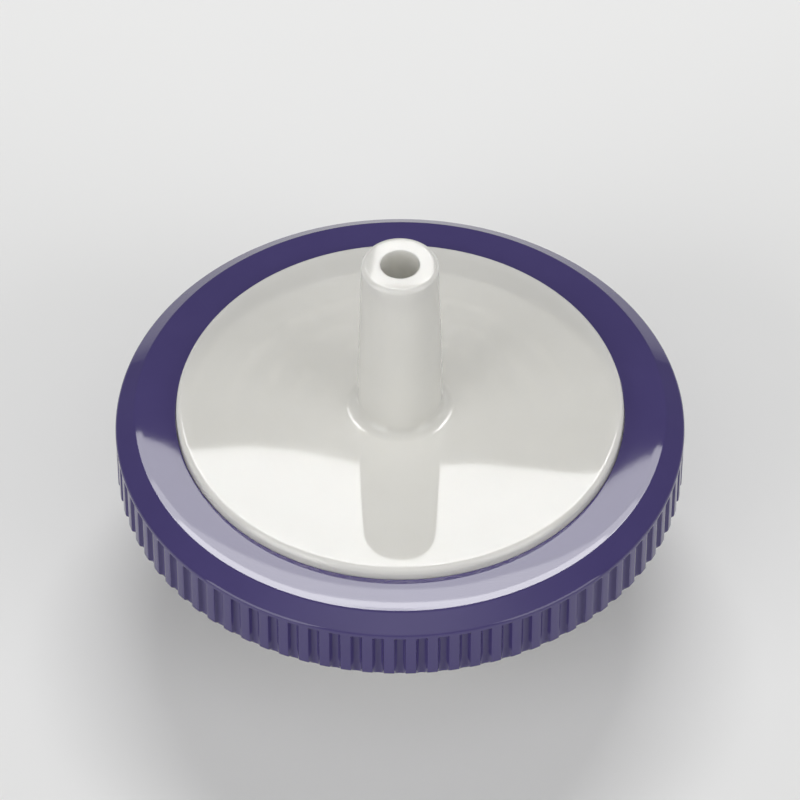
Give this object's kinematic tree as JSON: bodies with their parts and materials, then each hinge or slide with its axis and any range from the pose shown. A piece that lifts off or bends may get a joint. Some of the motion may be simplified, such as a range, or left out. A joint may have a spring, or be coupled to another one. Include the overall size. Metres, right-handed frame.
{
  "type": "syringe filter",
  "caption": "Disc-shaped membrane filter for a syringe, with a female luer lock inlet, a tapered male luer outlet and a fluted grip ring round the rim.",
  "frame": {"origin": "centre of the inlet's end face, on which the filter stands", "axes": "+Z along the filter's axis from the inlet to the outlet, +X through the two locking lugs"},
  "size_m": [0.03, 0.03, 0.0227],
  "materials": {
    "clear_housing": "gloss, natural translucent polypropylene",
    "membrane": "matt white porous film",
    "ring": "smooth moulded polypropylene, violet"
  },
  "bodies": {
    "root": {"inlet_housing": "clear_housing", "membrane": "membrane", "outlet_housing": "clear_housing", "overmould_ring": "ring"}
  },
  "joints": []
}
